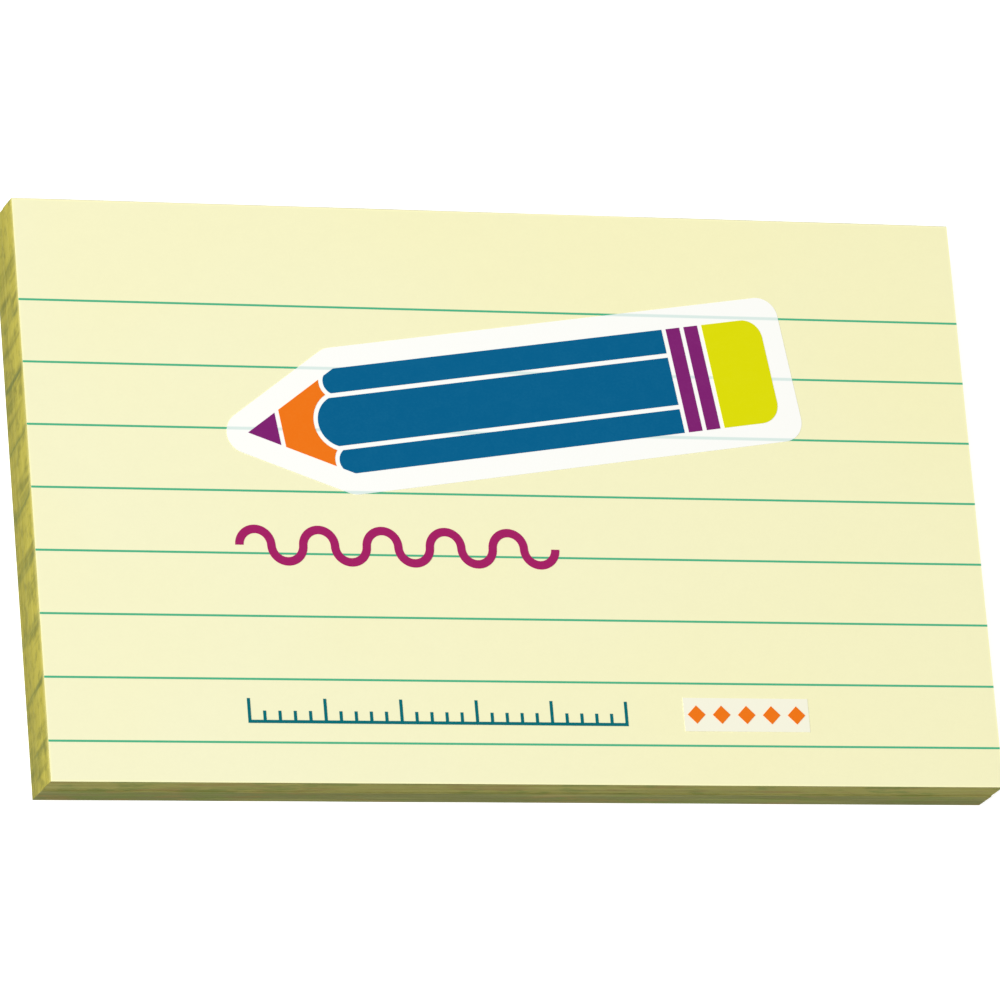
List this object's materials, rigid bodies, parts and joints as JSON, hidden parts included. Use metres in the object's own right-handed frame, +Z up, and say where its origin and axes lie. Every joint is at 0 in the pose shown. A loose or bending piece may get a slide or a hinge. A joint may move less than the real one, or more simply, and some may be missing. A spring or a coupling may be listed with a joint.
{
  "type": "sticky note pad",
  "caption": "Flat block of ruled adhesive notes held along one long edge, on a coated backing sheet, with a printed top note.",
  "frame": {"origin": "middle of the pad's underside, where it rests", "axes": "+X along the glued long edge, to the right as the notes are read; +Y across the notes, from the free edge to the glued edge; +Z up, out of the top note"},
  "size_m": [0.1272, 0.0762, 0.0088],
  "materials": {
    "note_paper": "uncoated pale yellow paper, guillotined edges that look deeper olive yellow",
    "coated_backing": "thin coated paper, satin",
    "adhesive": "clear low-tack adhesive film",
    "green_ink": "green ruling soaked into the paper",
    "white_ink": "nearly opaque white print, smooth",
    "blue_ink": "solid printed colour, smooth",
    "orange_ink": "solid printed colour, smooth",
    "lime_ink": "solid printed colour, smooth",
    "purple_ink": "solid printed colour, smooth",
    "magenta_ink": "solid printed colour, smooth",
    "teal_ink": "solid printed colour, smooth"
  },
  "bodies": {
    "root": {"note_block": "note_paper", "backing_sheet": "coated_backing", "adhesive_band": "adhesive", "ruled_lines": "green_ink", "white_print": "white_ink", "blue_print": "blue_ink", "orange_print": "orange_ink", "lime_print": "lime_ink", "purple_print": "purple_ink", "magenta_print": "magenta_ink", "teal_print": "teal_ink"}
  },
  "joints": []
}
